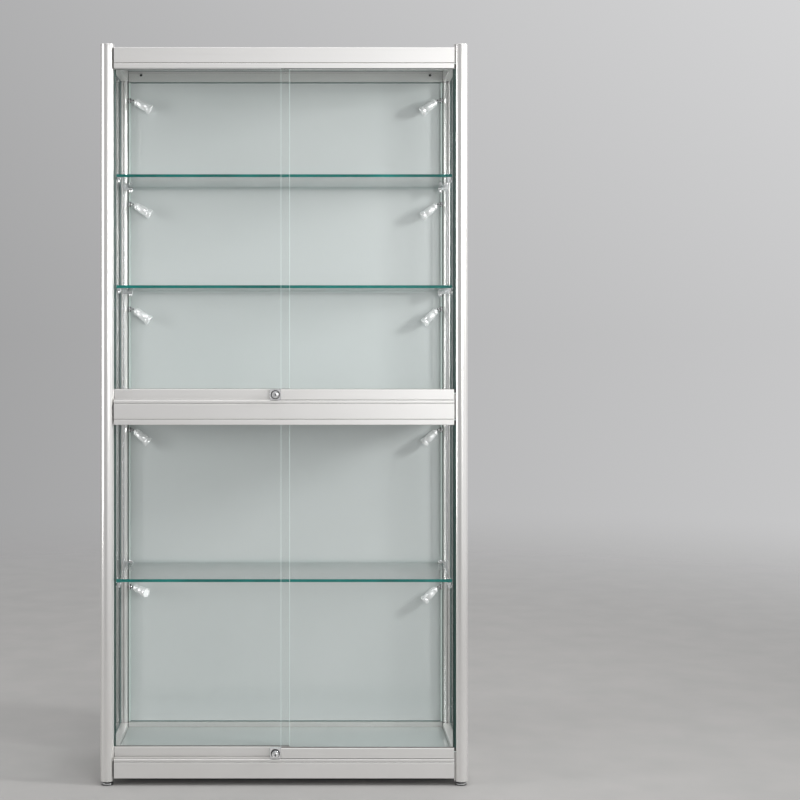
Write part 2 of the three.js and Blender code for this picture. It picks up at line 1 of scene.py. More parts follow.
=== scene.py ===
# Glass display showcase: materials, fine pieces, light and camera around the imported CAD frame.
# Everything is in metres, in the frame's own axes: +X right, +Y to the back, +Z up, floor at z = 0.

import json
import math

import bmesh
import bpy
from mathutils import Matrix, Vector

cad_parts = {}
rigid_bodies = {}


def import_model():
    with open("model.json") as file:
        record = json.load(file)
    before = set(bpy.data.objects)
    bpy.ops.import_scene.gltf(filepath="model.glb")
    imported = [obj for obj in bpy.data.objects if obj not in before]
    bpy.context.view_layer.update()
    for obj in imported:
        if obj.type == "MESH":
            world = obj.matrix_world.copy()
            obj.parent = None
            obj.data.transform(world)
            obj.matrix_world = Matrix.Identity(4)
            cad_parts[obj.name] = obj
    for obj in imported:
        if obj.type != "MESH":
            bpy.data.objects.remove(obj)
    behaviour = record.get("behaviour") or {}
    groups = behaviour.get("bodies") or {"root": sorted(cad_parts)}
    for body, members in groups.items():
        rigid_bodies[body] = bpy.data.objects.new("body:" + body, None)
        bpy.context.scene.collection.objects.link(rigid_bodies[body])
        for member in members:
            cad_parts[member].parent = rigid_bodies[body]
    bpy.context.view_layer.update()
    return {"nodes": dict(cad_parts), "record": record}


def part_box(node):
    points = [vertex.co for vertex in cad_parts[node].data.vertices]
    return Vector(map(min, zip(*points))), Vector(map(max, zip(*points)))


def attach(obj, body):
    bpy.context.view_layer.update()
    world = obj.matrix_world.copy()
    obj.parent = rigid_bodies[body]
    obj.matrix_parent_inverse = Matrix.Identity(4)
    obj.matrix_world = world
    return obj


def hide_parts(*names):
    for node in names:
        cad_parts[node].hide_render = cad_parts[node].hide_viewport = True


for leftover in list(bpy.data.objects):
    bpy.data.objects.remove(leftover)

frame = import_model()
nodes = frame["nodes"]
joints = {joint["name"]: joint for joint in frame["record"]["behaviour"]["joints"]}

MM = 0.001
X = Vector((1, 0, 0))
Y = Vector((0, 1, 0))
Z = Vector((0, 0, 1))
SIDES = (("left", -1), ("right", 1))
CORNERS = [(front, side) for front in ("front", "rear") for side in ("left", "right")]
BAYS = ("upper", "lower")
SHELVES = ("upper_top_shelf", "upper_low_shelf", "lower_shelf")
# the rails below and above each bay
BAY_RAILS = {"upper": ("middle", "top"), "lower": ("bottom", "middle")}


# ---------------------------------------------------------------- shader building

EVENLY = (1, 1, 1)
NOISE_LOW, NOISE_HIGH = 0.3, 0.7  # nearly all of a noise's values lie between these
# how open a place is where the painted shade in a groove is at its full, and where it ends
OPEN_LOW, OPEN_HIGH = 0.2, 0.75


class Shader:
    """A node material in the making."""

    def __init__(self, name):
        self.material = bpy.data.materials.new(name)
        self.material.use_nodes = True
        self.tree = self.material.node_tree
        self.surface = self.tree.nodes["Principled BSDF"]
        self.output = self.tree.nodes["Material Output"]

    def add(self, kind, inputs=None, **settings):
        node = self.tree.nodes.new("ShaderNode" + kind)
        for key, value in settings.items():
            setattr(node, key, value)
        for key, value in (inputs or {}).items():
            self.feed(node, key, value)
        return node

    def feed(self, node, key, value):
        """Sets an input to a plain value, or links it if the value is another node's output."""
        if isinstance(value, bpy.types.NodeSocket):
            self.tree.links.new(value, node.inputs[key])
        else:
            node.inputs[key].default_value = value

    def set(self, **inputs):
        for key, value in inputs.items():
            self.feed(self.surface, key.replace("_", " "), value)

    def noise(self, scale, stretch=EVENLY, detail=3.0):
        """Noise in object space; each axis is multiplied by its own stretch."""
        place = self.add("TexCoord").outputs["Object"]
        mapped = self.add("Mapping", {"Vector": place, "Scale": stretch}).outputs["Vector"]
        inputs = {"Vector": mapped, "Scale": scale, "Detail": detail}
        return self.add("TexNoise", inputs).outputs["Fac"]

    def remap(self, value, start, end, low=0.0, high=1.0, **settings):
        """Maps start to end onto low to high, and holds the value beyond them."""
        inputs = {"Value": value, "From Min": start, "From Max": end, "To Min": low, "To Max": high}
        return self.add("MapRange", inputs, **settings).outputs["Result"]

    def mix(self, factor, low, high):
        """A colour between low and high."""
        node = self.add("Mix", data_type="RGBA")
        for slot, value in ((0, factor), (6, low), (7, high)):
            self.feed(node, slot, value)
        return node.outputs[2]

    def spread(self, value, low, high):
        """Maps a noise's usual values onto low to high."""
        return self.remap(value, NOISE_LOW, NOISE_HIGH, low, high)

    def tint(self, value, dark, light):
        """A colour between dark and light by a noise value."""
        return self.mix(self.spread(value, 0, 1), (*dark, 1), (*light, 1))

    def painted_shade_in_gaps(self, colour, shade_colour, reach):
        """A colour with painted shade: darker in grooves and seams narrower than reach, where little
        light gets in.
        """
        openness = self.add("AmbientOcclusion", {"Distance": reach}, samples=6).outputs["AO"]
        return self.mix(self.remap(openness, OPEN_LOW, OPEN_HIGH), (*shade_colour, 1), colour)

    def maths(self, operation, *values):
        return self.add("Math", dict(enumerate(values)), operation=operation).outputs[0]

    def bump(self, height, strength, distance):
        inputs = {"Height": height, "Strength": strength, "Distance": distance}
        return self.add("Bump", inputs).outputs["Normal"]


# ---------------------------------------------------------------- materials

GLASS_HAZE = 0.006
FACE_ALIGNMENT = 0.95  # a glass face's normal lies this close to the sheet's axis; an edge's doesn't
LINE_STRETCH = 0.003  # how much slower the drawing lines change along the profile than across it
GROOVE_REACH = 3.5 * MM


def anodised(name, line_axis, roughness=0.38):
    """Satin anodised aluminium with fine drawing lines along the profile, and painted shade in its
    grooves and seams.
    """
    shader = Shader(name)
    stretch = [LINE_STRETCH if step else 1.0 for step in line_axis]
    lines = shader.noise(1400, stretch, detail=2.0)
    clouds = shader.noise(2.5)
    even = shader.tint(clouds, (0.80, 0.79, 0.77), (0.84, 0.83, 0.815))
    shader.set(
        # painted shade in the grooves and seams of the rails and posts
        Base_Color=shader.painted_shade_in_gaps(even, (0.10, 0.095, 0.09), GROOVE_REACH),
        Metallic=0.72,
        Roughness=shader.spread(lines, roughness - 0.03, roughness + 0.03),
        Normal=shader.bump(lines, 0.03, 0.05 * MM),
        Coat_Weight=0.12,
        Coat_Roughness=0.3,
    )
    return shader.material


def polished_chrome(name):
    shader = Shader(name)
    haze = shader.noise(160)
    shader.set(
        Base_Color=(0.93, 0.93, 0.94, 1),
        Metallic=0.85,
        Roughness=shader.spread(haze, 0.10, 0.18),
    )
    return shader.material


def sheet_glass(name, axis, edge, clear=(0.982, 0.991, 0.988)):
    """Float glass: clear, faintly reflective and a little hazy on its two faces, which look along
    axis, and tinted on its edges, with a faint painted glow in the edges' light colour."""
    shader = Shader(name)
    geometry = shader.add("NewGeometry")
    normal = geometry.outputs["True Normal"]
    along = shader.add("VectorMath", {0: normal, 1: axis}, operation="DOT_PRODUCT").outputs["Value"]
    size = shader.maths("ABSOLUTE", along)
    is_face = shader.maths("GREATER_THAN", size, FACE_ALIGNMENT)
    # an edge seen from within the glass lets the light through
    from_within = geometry.outputs["Backfacing"]
    is_clear = shader.maths("MAXIMUM", is_face, from_within)

    facing = shader.add("LayerWeight", {"Blend": 0.5}).outputs["Facing"]
    grazing = shader.maths("POWER", facing, 4.0)
    mirror = shader.remap(grazing, 0.0, 1.0, low=0.022, high=0.7)
    smears = shader.noise(5)
    clear_part = shader.add("BsdfTransparent", {"Color": (*clear, 1)}).outputs[0]
    polish = shader.spread(smears, 0.0, 0.03)
    mirror_part = shader.add("BsdfGlossy", {"Roughness": polish}).outputs[0]
    clean = shader.add("MixShader", {0: mirror, 1: clear_part, 2: mirror_part}).outputs[0]
    dust = shader.add("BsdfDiffuse", {"Color": (0.9, 0.92, 0.92, 1)}).outputs[0]
    face = shader.add("MixShader", {0: GLASS_HAZE, 1: clean, 2: dust}).outputs[0]

    depth = shader.noise(9)
    dark, light = edge
    shader.set(
        Base_Color=shader.tint(depth, dark, light),
        Roughness=0.35,
        Specular_IOR_Level=0.1,
        # a faint painted glow that brightens the edges
        Emission_Color=(*light, 1),
        Emission_Strength=0.2,
    )
    edge_part = shader.surface.outputs[0]
    both = shader.add("MixShader", {0: is_clear, 1: edge_part, 2: face}).outputs[0]
    shader.feed(shader.output, "Surface", both)
    return shader.material


def glossy_panel(name, dark, light, roughness, coat, coat_ior=1.5):
    """A smooth coated board: a slow drift in tone, and a clear reflection from the coat."""
    shader = Shader(name)
    drift = shader.noise(1.6)
    ripple = shader.noise(7)
    shader.set(
        Base_Color=shader.tint(drift, dark, light),
        Roughness=roughness,
        Coat_Weight=coat,
        Coat_IOR=coat_ior,
        Coat_Roughness=shader.spread(ripple, 0.02, 0.06),
        Coat_Normal=shader.bump(ripple, 0.02, 0.5 * MM),
    )
    return shader.material


def silver_lacquer(name):
    """Bright silver lacquer with fine flakes under a clear coat, and a faint painted glow that
    lightens it.
    """
    shader = Shader(name)
    flake = shader.noise(2600)
    shader.set(
        Base_Color=shader.tint(flake, (0.94, 0.945, 0.95), (0.97, 0.97, 0.975)),
        Metallic=0.45,
        Roughness=shader.spread(flake, 0.14, 0.18),
        Coat_Weight=0.9,
        Coat_IOR=1.8,
        Coat_Roughness=0.04,
        # a faint painted glow that makes the lamp heads read brighter
        Emission_Color=(1, 1, 1, 1),
        Emission_Strength=0.1,
    )
    return shader.material


def moulded(name, dark, light, roughness, coat=0.0):
    """Moulded plastic or rubber with a fine spark-eroded texture."""
    shader = Shader(name)
    texture = shader.noise(1800)
    shader.set(
        Base_Color=shader.tint(texture, dark, light),
        Roughness=shader.spread(texture, roughness * 0.85, roughness * 1.15),
        Normal=shader.bump(texture, 0.15, 0.05 * MM),
        Coat_Weight=coat,
    )
    return shader.material


def zinc_plate(name):
    shader = Shader(name)
    spangle = shader.noise(220)
    shader.set(
        Base_Color=shader.tint(spangle, (0.55, 0.56, 0.57), (0.72, 0.72, 0.71)),
        Metallic=1.0,
        Roughness=shader.spread(spangle, 0.25, 0.42),
    )
    return shader.material


def frosted_lens(name):
    shader = Shader(name)
    prisms = shader.noise(900)
    shader.set(
        Base_Color=(0.93, 0.95, 0.95, 1),
        Roughness=0.2,
        Normal=shader.bump(prisms, 0.4, 0.2 * MM),
        Coat_Weight=1.0,
        Coat_Roughness=0.05,
        # the lamps are unlit: this glow is a painted highlight in the lens
        Emission_Color=(1, 1, 1, 1),
        Emission_Strength=0.35,
    )
    return shader.material


TEAL_EDGE = ((0.000, 0.085, 0.075), (0.000, 0.19, 0.165))
# the door glass's own pale edge, made lighter as a painted highlight so that its polished edges read
# as bright lines
PALE_EDGE_AND_HIGHLIGHT = ((0.66, 0.80, 0.77), (0.80, 0.92, 0.89))

ALUMINIUM_X = anodised("aluminium_along_x", X)
ALUMINIUM_Y = anodised("aluminium_along_y", Y)
ALUMINIUM_Z = anodised("aluminium_along_z", Z, roughness=0.24)
CHROME = polished_chrome("chrome")
SHELF_GLASS = sheet_glass("shelf_glass", Z, TEAL_EDGE)
SIDE_GLASS = sheet_glass("side_glass", X, TEAL_EDGE)
DOOR_GLASS = sheet_glass("door_glass", Y, PALE_EDGE_AND_HIGHLIGHT, (0.992, 0.997, 0.995))
BACK = glossy_panel(
    "back_panel", (0.62, 0.655, 0.65), (0.66, 0.69, 0.685), roughness=0.35, coat=0.9, coat_ior=1.9,
)
DECK = glossy_panel("deck", (0.43, 0.475, 0.465), (0.46, 0.50, 0.49), roughness=0.3, coat=0.6)
LAMP_SILVER = silver_lacquer("lamp_silver")
LENS = frosted_lens("lamp_lens")
DUCT = moulded("lamp_duct", (0.60, 0.72, 0.67), (0.70, 0.80, 0.76), roughness=0.35, coat=0.4)
GASKET = moulded("gasket", (0.10, 0.16, 0.155), (0.15, 0.22, 0.21), roughness=0.4, coat=0.3)
NYLON = moulded("nylon", (0.70, 0.70, 0.68), (0.80, 0.80, 0.78), roughness=0.45)
BLACK = moulded("black_rubber", (0.012, 0.012, 0.013), (0.03, 0.03, 0.03), roughness=0.6)
SEAL = moulded("post_seal", (0.002, 0.035, 0.026), (0.005, 0.055, 0.042), roughness=0.35, coat=0.2)
LIP_RUBBER = moulded("glazing_lip", (0.16, 0.15, 0.14), (0.24, 0.225, 0.21), roughness=0.5)
ZINC = zinc_plate("zinc_plate")


# ---------------------------------------------------------------- finish of the CAD nodes

DUCT_DEPTH = 8 * MM
ARM_START = 1 * MM  # the arms stand at least this far before the duct
CAD_EDGE = 0.35 * MM
# the wider rounding on the door glass widens the pale painted highlight along its edges
DOOR_GLASS_EDGE = 1.1 * MM
FINE_EDGE = 0.3 * MM
WELD_REACH = 0.002 * MM
SHARP_ANGLE = math.radians(32)


def cad_material(name):
    if name.endswith("_post"):
        return ALUMINIUM_Z
    if name.endswith("_shelf_support") or "_lock_" in name:
        return CHROME
    if name.endswith(("left_rail", "right_rail")) and "door" not in name:
        return ALUMINIUM_Y
    if name.endswith("_rail"):
        return ALUMINIUM_X
    if name.endswith("_side_glass"):
        return SIDE_GLASS
    if name.endswith("_door_glass"):
        return DOOR_GLASS
    if name.endswith("_shelf"):
        return SHELF_GLASS
    if name.endswith("_back_panel"):
        return BACK
    if name.endswith(("_deck", "roof_panel")):
        return DECK
    if name.endswith("_harness"):
        return DUCT
    if name.endswith("_foot"):
        return ZINC
    return LAMP_SILVER


def soften(piece, width, segments=2):
    """Rounds a piece's sharp edges and shades the rest smoothly."""
    piece.data.polygons.foreach_set("use_smooth", [True] * len(piece.data.polygons))
    bevel = piece.modifiers.new("edges", "BEVEL")
    bevel.limit_method = "ANGLE"
    bevel.angle_limit = SHARP_ANGLE
    bevel.width = width
    bevel.segments = segments
    bevel.harden_normals = True
    bevel.use_clamp_overlap = True


def finish_cad_node(name, piece):
    piece.data.materials.clear()
    piece.data.materials.append(cad_material(name))
    flat_normals = piece.data.attributes.get("custom_normal")
    if flat_normals:
        piece.data.attributes.remove(flat_normals)
    weld = piece.modifiers.new("join_facets", "WELD")
    weld.merge_threshold = WELD_REACH
    soften(piece, DOOR_GLASS_EDGE if name.endswith("_door_glass") else CAD_EDGE)


for node_name, node_object in nodes.items():
    finish_cad_node(node_name, node_object)


# The arms and eyes of the lamps are one solid with the duct, but chromed.
for side, sign in SIDES:
    harness = nodes[f"{side}_lamp_harness"]
    harness.data.materials.append(CHROME)
    duct_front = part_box(f"{side}_lamp_harness")[1].y - DUCT_DEPTH
    for face in harness.data.polygons:
        if face.center.y < duct_front - ARM_START:
            face.material_index = 1


# ---------------------------------------------------------------- mesh building

def add_piece(name, bm, material, body, place=None, bevel=FINE_EDGE):
    """Turns a bmesh into a piece that rides on a body; place moves it from its own axes to the
    cabinet's."""
    bmesh.ops.recalc_face_normals(bm, faces=bm.faces[:])
    mesh = bpy.data.meshes.new(name)
    bm.to_mesh(mesh)
    bm.free()
    if place is not None:
        mesh.transform(place)
        if place.determinant() < 0:
            mesh.flip_normals()
    mesh.materials.append(material)
    piece = bpy.data.objects.new(name, mesh)
    bpy.context.scene.collection.objects.link(piece)
    if bevel:
        soften(piece, bevel)
    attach(piece, body)
    return piece


def axes_at(origin, z_axis, x_hint=X):
    """A frame at origin with its +Z along z_axis and its +X as near x_hint as it can be."""
    z = Vector(z_axis).normalized()
    nearly_parallel = abs(z.dot(x_hint)) > 0.99
    if nearly_parallel:
        x_hint = Y
    y = z.cross(x_hint).normalized()
    x = y.cross(z)
    turn = Matrix((x, y, z)).transposed().to_4x4()
    return Matrix.Translation(origin) @ turn


def lathe(profile, segments=48, ring=False):
    """A turned solid round +Z. The profile is (radius, height) in millimetres; a ring's profile
    closes on itself."""
    bm = bmesh.new()
    angles = [2 * math.pi * step / segments for step in range(segments)]
    turns = []
    for radius, height in profile:
        if radius == 0:
            turns.append([bm.verts.new((0, 0, height * MM))] * segments)
            continue
        turns.append([
            bm.verts.new((
                radius * MM * math.cos(angle), radius * MM * math.sin(angle), height * MM,
            ))
            for angle in angles
        ])
    if ring:
        turns.append(turns[0])
    for low, high in zip(turns, turns[1:]):
        for step in range(segments):
            after = (step + 1) % segments
            corners = [low[step], low[after], high[after], high[step]]
            unique = list(dict.fromkeys(corners))
            if len(unique) > 2:
                bm.faces.new(unique)
    return bm


def prism(section, length):
    """A solid with a section of (x, y) points in millimetres, pushed along +Z."""
    bm = bmesh.new()
    low = [bm.verts.new((x * MM, y * MM, 0)) for x, y in section]
    high = [bm.verts.new((x * MM, y * MM, length * MM)) for x, y in section]
    bm.faces.new(low)
    bm.faces.new(high)
    for step in range(len(section)):
        after = (step + 1) % len(section)
        bm.faces.new([low[step], low[after], high[after], high[step]])
    return bm


def rounded_rectangle(width, height, radius, steps=5):
    """The outline of a rectangle with round corners, centred on the origin, in millimetres."""
    points = []
    for corner, (sx, sy) in enumerate(((1, 1), (-1, 1), (-1, -1), (1, -1))):
        for step in range(steps + 1):
            angle = math.pi / 2 * (corner + step / steps)
            points.append((
                sx * (width / 2 - radius) + radius * math.cos(angle),
                sy * (height / 2 - radius) + radius * math.sin(angle),
            ))
    return points


def sweep_round_opening(corners, outward, section):
    """A mitred bead round a rectangle; section holds (inward, outward) offsets in millimetres."""
    bm = bmesh.new()
    loops = []
    for step, corner in enumerate(corners):
        inward = Vector()
        for neighbour in (corners[step - 1], corners[(step + 1) % 4]):
            inward += (neighbour - corner).normalized()
        loops.append([
            bm.verts.new(corner + inward * along * MM + outward * out * MM) for along, out in section
        ])
    count = len(section)
    for here in range(4):
        there = (here + 1) % 4
        for step in range(count):
            after = (step + 1) % count
            bm.faces.new([
                loops[here][step], loops[here][after], loops[there][after], loops[there][step],
            ])
    return bm


# ---------------------------------------------------------------- posts and feet

SEAT_GAP = 0.1  # between a piece and what it rests on
CAP_THICK = 2.2
CAP_EDGE = 0.8
PLUG_THICK = 1.6
PLUG_INSET_TOP, PLUG_INSET_UNDER = 1.2, 2
STUD_HOLE = 4.8
PAD_PROFILE = [(11, 0.2), (15.4, 0.2), (15.8, 1.0), (15.4, 2.4), (11, 2.4)]

for front, side in CORNERS:
    low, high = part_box(f"{front}_{side}_post")
    radius = (high.x - low.x) / 2 / MM
    centre_x = (low.x if side == "left" else high.x) - (-radius if side == "left" else radius) * MM
    centre_y = (low.y + radius * MM) if front == "front" else (high.y - radius * MM)
    foot = f"{front}_{side}_foot"

    cap = lathe([
        (0, 0), (radius, 0), (radius, CAP_THICK - CAP_EDGE), (radius - CAP_EDGE, CAP_THICK),
        (0, CAP_THICK),
    ], 64)
    add_piece(
        f"{front}_{side}_post_cap", cap, ALUMINIUM_Z, "cabinet",
        Matrix.Translation((centre_x, centre_y, high.z + SEAT_GAP * MM)),
    )
    plug = lathe([
        (STUD_HOLE, 0), (radius - PLUG_INSET_UNDER, 0), (radius - PLUG_INSET_TOP, PLUG_THICK),
        (STUD_HOLE, PLUG_THICK),
    ], 64, ring=True)
    add_piece(
        f"{front}_{side}_post_plug", plug, BLACK, "cabinet",
        Matrix.Translation((centre_x, centre_y, low.z - (PLUG_THICK + SEAT_GAP) * MM)),
    )
    add_piece(
        f"{foot}_pad", lathe(PAD_PROFILE, 64, ring=True), BLACK, foot,
        Matrix.Translation((centre_x, centre_y, 0)),
    )


# ---------------------------------------------------------------- gaskets of the glass and the back

# the bead's section: how far in from the rail and out from the glass, in millimetres
BEAD = [(0, 0.05), (0, 1.4), (0.5, 1.9), (1.4, 1.9), (2.3, 1.2), (2.8, 0.05)]


def rail_gap(lower, upper):
    """The clear height between two rails."""
    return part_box(lower)[1].z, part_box(upper)[0].z


for bay, (lower, upper) in BAY_RAILS.items():
    for side, sign in SIDES:
        z0, z1 = rail_gap(f"{lower}_{side}_rail", f"{upper}_{side}_rail")
        y0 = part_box(f"front_{side}_post")[1].y
        y1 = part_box(f"rear_{side}_post")[0].y
        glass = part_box(f"{bay}_{side}_side_glass")
        for face, outward in (("left", -X), ("right", X)):
            x = glass[0].x if face == "left" else glass[1].x
            corners = [Vector((x, y, z)) for y, z in ((y0, z0), (y1, z0), (y1, z1), (y0, z1))]
            gasket = sweep_round_opening(corners, outward, BEAD)
            add_piece(
                f"{bay}_{side}_side_gasket_{face}", gasket, GASKET, "cabinet",
                bevel=0,
            )
    z0, z1 = rail_gap(f"{lower}_rear_rail", f"{upper}_rear_rail")
    x0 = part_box("rear_left_post")[1].x
    x1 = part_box("rear_right_post")[0].x
    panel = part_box(f"{bay}_back_panel")
    for face, outward in (("front", -Y), ("rear", Y)):
        y = panel[0].y if face == "front" else panel[1].y
        corners = [Vector((x, y, z)) for x, z in ((x0, z0), (x1, z0), (x1, z1), (x0, z1))]
        gasket = sweep_round_opening(corners, outward, BEAD)
        add_piece(
            f"{bay}_back_gasket_{face}", gasket, GASKET, "cabinet", bevel=0,
        )


# ---------------------------------------------------------------- sliding doors

ROLLER_INSET = 55
ROLLER_LIFT = 6
TYRE_PROFILE = [(1.1, -1.6), (2.9, -1.6), (3.4, -1.1), (3.4, 1.1), (2.9, 1.6), (1.1, 1.6)]
AXLE_PROFILE = [(0, -2.4), (0.9, -2.4), (0.9, 2.4), (0, 2.4)]
GUIDE_LENGTH = 22
# a U that sits upside down on the glass
GUIDE_SECTION = [
    (-3.6, 0.8), (3.6, 0.8), (3.6, -10), (2.6, -10),
    (2.6, 0.1), (-2.6, 0.1), (-2.6, -10), (-3.6, -10),
]
CAP_WIDTH = 1.2
CAP_CORNER = 1.2
CAP_GAP = 0.05
GLAZING_LIP = [(0.05, 0.02), (1.7, 0.02), (1.7, 0.6), (0.9, 1.3), (0.05, 1.3)]
SEAL_REACH = 4.2
SEAL_THICK = 1.4
SEAL_TAPER = 1.2
SEAL_GAP = 0.12
SEAL_END_GAP = 1


def seal_section(post_centre, post_radius, face_y, outward, inward):
    """A lip between a post's round side and the face of a door's glass, as (x, y) in millimetres."""
    section = []
    for out in (SEAL_GAP, SEAL_THICK):
        y = face_y / MM + outward * out
        half = math.sqrt(post_radius ** 2 - (y - post_centre[1]) ** 2)
        section.append((post_centre[0] + inward * (half + SEAL_GAP), y))
    near = section[0][0] + inward * SEAL_REACH
    section.append((near - inward * SEAL_TAPER, section[1][1]))
    section.append((near, section[0][1]))
    return section


for bay in BAYS:
    for side, sign in SIDES:
        door = f"{bay}_{side}_door"
        rail_low, rail_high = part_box(f"{door}_rail")
        glass_low, glass_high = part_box(f"{door}_glass")
        track = (rail_low.y + rail_high.y) / 2
        ends = (("left", rail_low.x + ROLLER_INSET * MM), ("right", rail_high.x - ROLLER_INSET * MM))
        for end, x in ends:
            at_roller = axes_at((x, track, rail_low.z + ROLLER_LIFT * MM), Y)
            add_piece(
                f"{door}_roller_{end}", lathe(TYRE_PROFILE, 32, ring=True), NYLON, door,
                at_roller, bevel=0.2 * MM,
            )
            add_piece(
                f"{door}_axle_{end}", lathe(AXLE_PROFILE, 16), ZINC, door,
                at_roller, bevel=0,
            )
            start = Vector((x - GUIDE_LENGTH / 2 * MM, track, glass_high.z))
            add_piece(
                f"{door}_guide_{end}", prism(GUIDE_SECTION, GUIDE_LENGTH), NYLON, door,
                axes_at(start, X, Y), bevel=0.2 * MM,
            )
        post_low, post_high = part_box(f"front_{side}_post")
        centre = (post_low + post_high) / 2 / MM
        radius = (post_high.x - post_low.x) / 2 / MM
        seal_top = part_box(f"{BAY_RAILS[bay][1]}_front_rail")[0].z
        for face, outward in (("front", -1), ("rear", 1)):
            face_y = glass_low.y if face == "front" else glass_high.y
            section = seal_section((centre.x, centre.y), radius, face_y, outward, -sign)
            seal = prism(section, (seal_top - rail_high.z) / MM - 2 * SEAL_END_GAP)
            add_piece(
                f"{door}_post_seal_{face}", seal, SEAL, "cabinet",
                Matrix.Translation((0, 0, rail_high.z + SEAL_END_GAP * MM)), bevel=0.1 * MM,
            )
            start = Vector((rail_low.x if outward > 0 else rail_high.x, face_y, rail_high.z))
            lip = prism(GLAZING_LIP, (rail_high.x - rail_low.x) / MM)
            add_piece(
                f"{door}_glazing_lip_{face}", lip, LIP_RUBBER, door,
                axes_at(start, outward * X, outward * Y), bevel=0,
            )
        height = (rail_high.z - rail_low.z) / MM
        width = (rail_high.y - rail_low.y) / MM
        if side == "left":
            end_cap = prism(rounded_rectangle(width, height, CAP_CORNER), CAP_WIDTH)
            middle = Vector((rail_high.x + CAP_GAP * MM, track, (rail_low.z + rail_high.z) / 2))
            add_piece(
                f"{door}_end_cap", end_cap, NYLON, door, axes_at(middle, X, Y),
            )


# ---------------------------------------------------------------- push locks

LOCK_BODY_DEPTH = 14
LOCK_SHADOW_RING = [(9.6, 0.1), (12.0, 0.1), (12.2, 0.4), (12.2, 1.2), (11.8, 1.6), (9.6, 1.6)]
LOCK_RIM = [(7.85, -0.5), (9.3, -0.5), (9.5, -0.1), (9.5, 0.8), (7.85, 0.8)]
LOCK_FACE = [(3.6, -0.45), (6.3, -0.45), (6.9, -0.1), (6.9, 0.2), (3.6, 0.2)]
KEYWAY = (3.0, 6.4)
KEYWAY_CORNER = 0.6
KEYWAY_THICK = 0.1

for bay in BAYS:
    door = f"{bay}_right_door"
    plunger = f"{bay}_lock_plunger"
    low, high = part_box(f"{bay}_lock_housing")
    plunger_low, plunger_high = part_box(plunger)
    x = (plunger_low.x + plunger_high.x) / 2
    z = (plunger_low.z + plunger_high.z) / 2
    face_y = high.y - LOCK_BODY_DEPTH * MM
    # a black ring at the barrel's foot: painted shade of the gap between housing and barrel
    add_piece(
        f"{bay}_lock_shadow_ring", lathe(LOCK_SHADOW_RING, 64, ring=True), BLACK, door,
        axes_at((x, face_y, z), -Y), bevel=0.1 * MM,
    )
    add_piece(
        f"{bay}_lock_rim", lathe(LOCK_RIM, 64, ring=True), CHROME, door,
        axes_at((x, low.y, z), Y), bevel=0.15 * MM,
    )
    at_face = axes_at((x, plunger_low.y, z), Y)
    add_piece(
        f"{bay}_lock_face", lathe(LOCK_FACE, 64, ring=True), CHROME, plunger,
        at_face, bevel=0.15 * MM,
    )
    # a thin black sheet on the plunger's face: painted shade in place of the keyhole's recess
    keyway = prism(rounded_rectangle(*KEYWAY, KEYWAY_CORNER), KEYWAY_THICK)
    add_piece(f"{bay}_lock_keyway", keyway, BLACK, plunger, at_face, bevel=0)


# ---------------------------------------------------------------- shelf brackets

KNOB_X = 454
BRACKET_BELOW = 8
BRACKET_ABOVE = 6
BRACKET_GAP = 0.3
BRACKET_MIDDLE = 7.05
KNOB_PROFILE = [
    (0, -7.4), (2.6, -7.1), (4.4, -6.2), (5.5, -4.8), (5.8, -3.2), (5.8, -0.8), (5.2, -0.1), (0, -0.1),
]
BUTTON_PROFILE = [
    (0, 4.6), (2.6, 4.3), (4.4, 3.4), (5.5, 2.0), (5.8, 1.0), (5.8, 0.4), (5.2, 0.1), (0, 0.1),
]

for shelf in SHELVES:
    low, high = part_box(shelf)
    for front, side in CORNERS:
        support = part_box(f"{front}_{side}_shelf_support")
        x = (-KNOB_X if side == "left" else KNOB_X) * MM
        inset = BRACKET_MIDDLE * MM
        y = (support[0].y + inset) if front == "rear" else (support[1].y - inset)
        under = low.z - (BRACKET_GAP + BRACKET_BELOW) * MM
        add_piece(
            f"{shelf}_{front}_{side}_knob", lathe(KNOB_PROFILE, 40), CHROME, "cabinet",
            Matrix.Translation((x, y, under)), bevel=0.1 * MM,
        )
        if front == "rear":
            over = high.z + (BRACKET_GAP + BRACKET_ABOVE) * MM
            add_piece(
                f"{shelf}_{front}_{side}_button", lathe(BUTTON_PROFILE, 40), CHROME, "cabinet",
                Matrix.Translation((x, y, over)), bevel=0.1 * MM,
            )


# ---------------------------------------------------------------- spot lamps

LAMP_COUNT = 5
FULL_DOWN = 80  # degrees below level at a lamp's lower limit
HEAD_SHELL = [
    (0, 6.0), (5.2, 6.0), (7.2, 6.4), (8.7, 7.5), (9.8, 9.2), (10.3, 11.5),
    (10.6, 15.5), (10.2, 15.9), (10.2, 16.6), (10.7, 17.0),
    (10.8, 19.0), (10.4, 19.4), (10.4, 20.1), (10.9, 20.5),
    (12.0, 45.6), (11.4, 46.0), (11.4, 47.4), (12.6, 47.9), (13.4, 48.7), (13.8, 50.0),
    (13.8, 56.6), (13.4, 57.8), (12.6, 58.4), (11.8, 58.3), (11.4, 57.6), (11.2, 54.6), (0, 54.6),
]
LENS_PROFILE = [
    (0, 54.7), (11.1, 54.7), (11.1, 55.6), (9.8, 56.2), (6.6, 56.9), (3.2, 57.2), (0, 57.3),
]
PIN_PROFILE = [
    (0, -4.6), (1.4, -4.5), (2.1, -4.1), (2.3, -3.7), (1.2, -3.6),
    (1.2, 3.6), (2.3, 3.7), (2.1, 4.1), (1.4, 4.5), (0, 4.6),
]
CHEEK_NEAR = 1.9
CHEEK_FAR = 3.55
CHEEK_RADIUS = 3.4
CHEEK_REACH = 8.5
CHEEK_FLARE = 0.9
CUP_PROFILE = [(6.6, 0.1), (6.9, 0.1), (7.2, 0.5), (7.2, 8.2), (6.9, 8.8), (6.6, 9.0)]
BAND_INNER, BAND_OUTER, BAND_CHAMFER = 7.25, 7.6, 0.2
